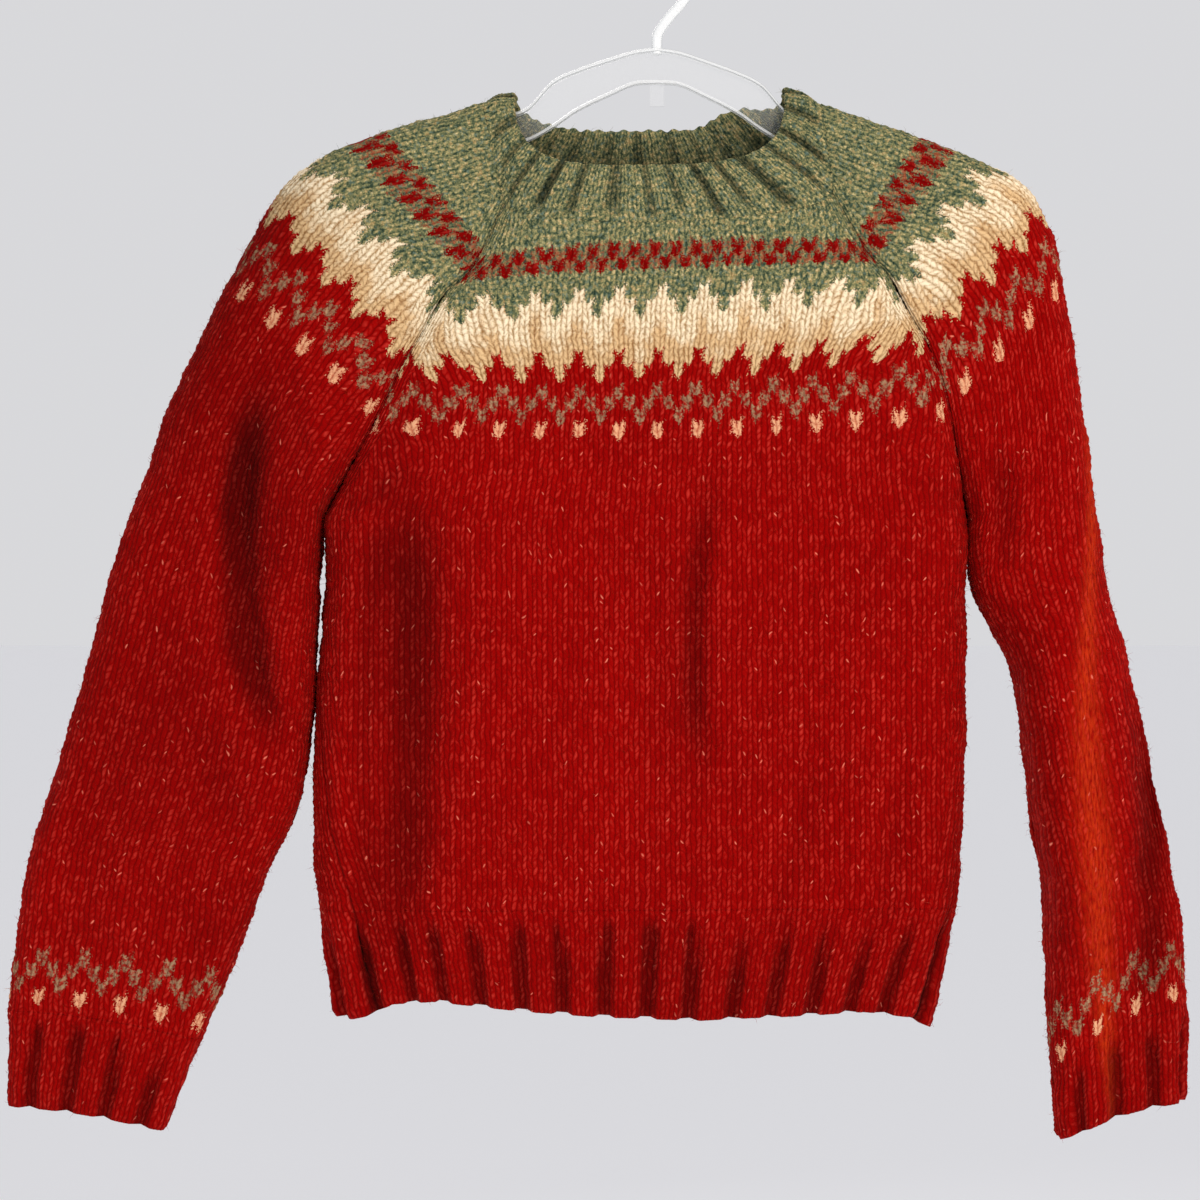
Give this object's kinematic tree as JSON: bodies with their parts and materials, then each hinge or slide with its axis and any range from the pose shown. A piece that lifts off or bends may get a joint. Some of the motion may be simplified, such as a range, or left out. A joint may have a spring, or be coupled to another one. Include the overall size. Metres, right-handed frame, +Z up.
{
  "type": "fair isle jumper on a hanger",
  "caption": "Long-sleeved round-necked raglan jumper in red wool with fair isle bands round yoke and cuffs, hanging open and hollow on a clear plastic hanger with a round hook.",
  "frame": {"origin": "highest point inside the hanger's hook, in its middle plane, where a rail carries it", "axes": "+X runs across the chest to the right as seen from the front, -Y is the front of the jumper, +Z is up"},
  "size_m": [0.7417, 0.0684, 0.7503],
  "materials": {
    "front_wool": "matte",
    "back_wool": "matte",
    "sleeve_left_wool": "matte",
    "sleeve_right_wool": "matte",
    "hem_front_rib": "matte",
    "hem_back_rib": "matte",
    "cuff_left_rib": "matte",
    "cuff_right_rib": "matte",
    "neckband_rib": "matte",
    "clear_plastic": "gloss"
  },
  "bodies": {
    "root": {"front": "front_wool", "back": "back_wool", "sleeve_left": "sleeve_left_wool", "sleeve_right": "sleeve_right_wool", "hem_front": "hem_front_rib", "hem_back": "hem_back_rib", "cuff_left": "cuff_left_rib", "cuff_right": "cuff_right_rib", "neckband": "neckband_rib", "hanger": "clear_plastic"}
  },
  "joints": []
}
